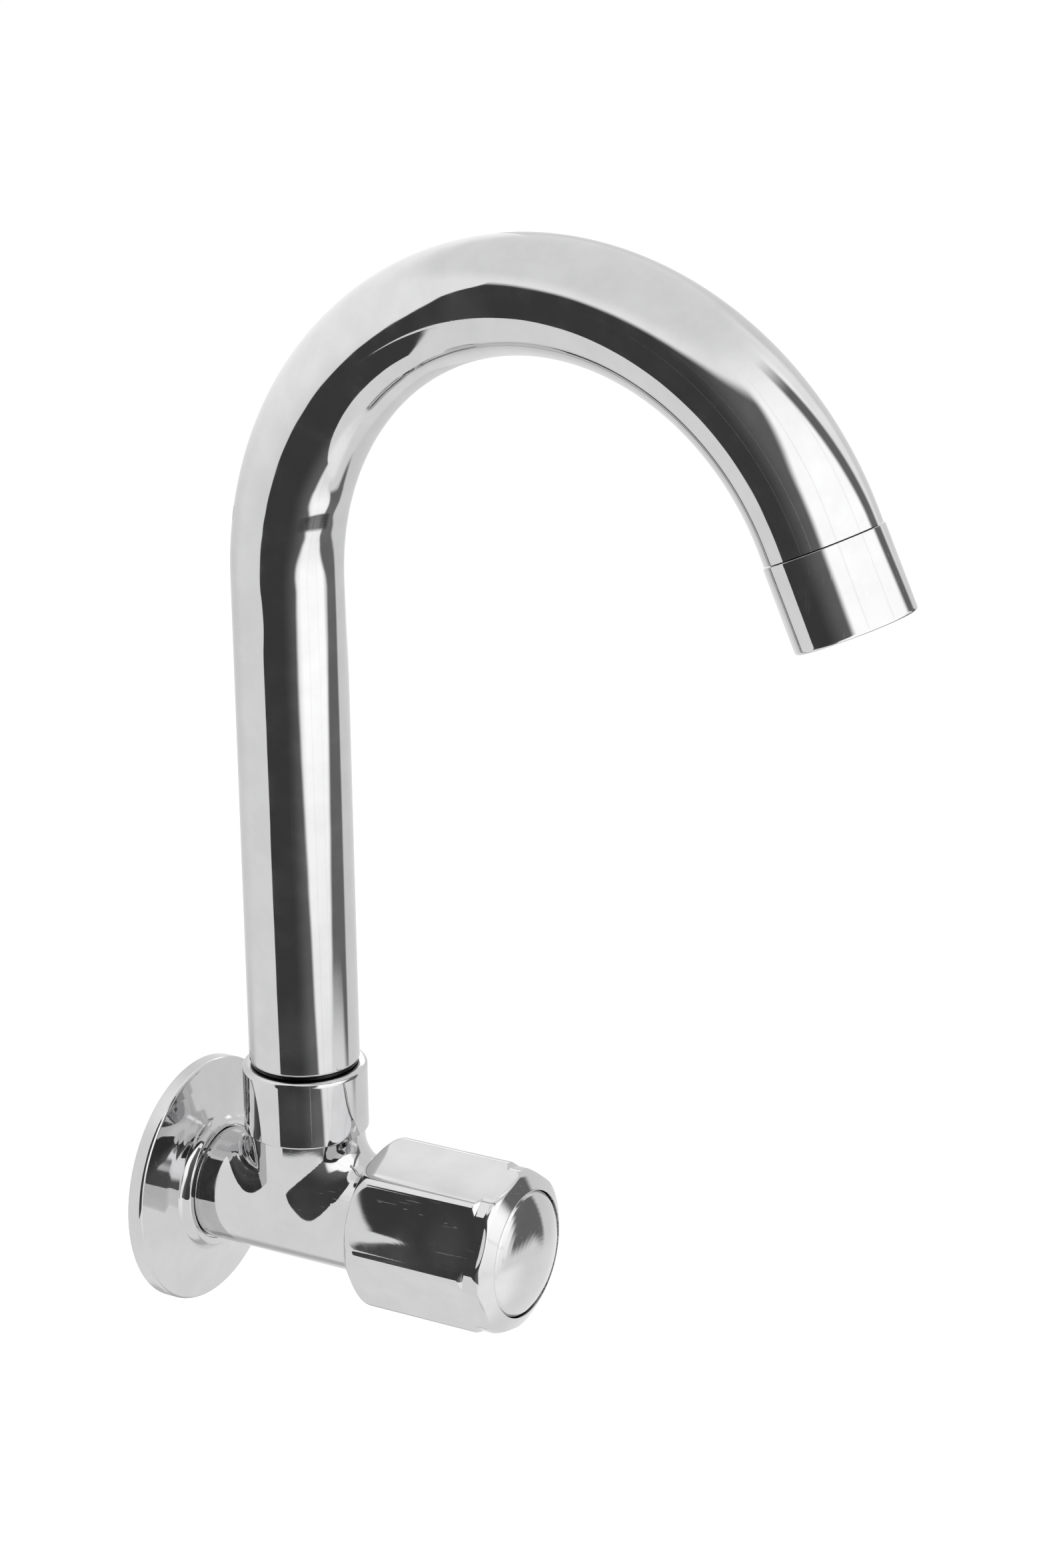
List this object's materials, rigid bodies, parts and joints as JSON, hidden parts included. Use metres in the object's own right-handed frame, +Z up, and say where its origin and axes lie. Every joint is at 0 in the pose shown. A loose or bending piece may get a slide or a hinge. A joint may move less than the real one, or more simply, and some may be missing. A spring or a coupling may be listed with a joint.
{
  "type": "sink tap",
  "caption": "Wall-mounted sink tap with a tall swivelling swan-neck spout, a fluted screw-down knob, a wall flange and a threaded inlet.",
  "frame": {"origin": "on the axis of the threaded inlet, in the plane of the finished wall", "axes": "+Y into the wall along the inlet, +Z up along the spout's riser, +X to the right of someone who faces the wall"},
  "size_m": [0.0582, 0.1931, 0.2622],
  "materials": {
    "body_chrome": "polished plating",
    "flange_chrome": "polished plating",
    "collar_chrome": "polished plating",
    "headwork_brass": "turned",
    "headwork_fibre": "pressed fibre",
    "packing_plastic": "soft fluoroplastic",
    "follower_brass": "turned",
    "gland_nut_brass": "turned",
    "jumper_brass": "turned",
    "valve_rubber": "moulded",
    "jumper_nut_brass": "turned",
    "spindle_brass": "turned",
    "knob_chrome": "polished plating",
    "screw_steel": "plain",
    "cap_chrome": "polished plating",
    "spout_chrome": "polished plating",
    "ferrule_brass": "turned",
    "seal_rubber": "moulded",
    "slip_plastic": "moulded",
    "ring_steel": "spring steel",
    "nipple_brass": "turned",
    "aerator_chrome": "polished plating",
    "aerator_rubber": "moulded",
    "insert_plastic": "moulded",
    "screen_steel": "etched"
  },
  "bodies": {
    "tap": {"tap_body": "body_chrome", "wall_flange": "flange_chrome", "swivel_collar": "collar_chrome", "headwork_body": "headwork_brass", "headwork_washer": "headwork_fibre", "gland_packing": "packing_plastic", "gland_follower": "follower_brass", "gland_nut": "gland_nut_brass"},
    "spout": {"spout_tube": "spout_chrome", "spout_ferrule": "ferrule_brass", "spout_o_rings": "seal_rubber", "slip_washers": "slip_plastic", "snap_ring": "ring_steel", "outlet_nipple": "nipple_brass", "aerator_shell": "aerator_chrome", "aerator_washer": "aerator_rubber", "aerator_insert": "insert_plastic", "aerator_screen": "screen_steel"},
    "jumper": {"jumper_valve": "jumper_brass", "jumper_washer": "valve_rubber", "jumper_nut": "jumper_nut_brass"},
    "handle": {"spindle": "spindle_brass", "knob": "knob_chrome", "knob_screw": "screw_steel", "index_cap": "cap_chrome"}
  },
  "joints": [
    {"name": "spout_swing", "type": "hinge", "parent": "tap", "child": "spout", "pos_m": [0, -0.0309, 0.03], "axis": [0, 0, 1], "range_deg": [-85.8, 94.2]},
    {"name": "valve_lift", "type": "slide", "parent": "tap", "child": "jumper", "axis": [0, -1, 0], "range_m": [0, 0.0045]},
    {"name": "handle_turn", "type": "hinge", "parent": "jumper", "child": "handle", "pos_m": [0, -0.07, 0], "axis": [0, -1, 0], "range_deg": [0, 540]}
  ],
  "couplings": [
    {"joint": "valve_lift", "follows": "handle_turn", "m_per_rad": 0.00047746}
  ]
}
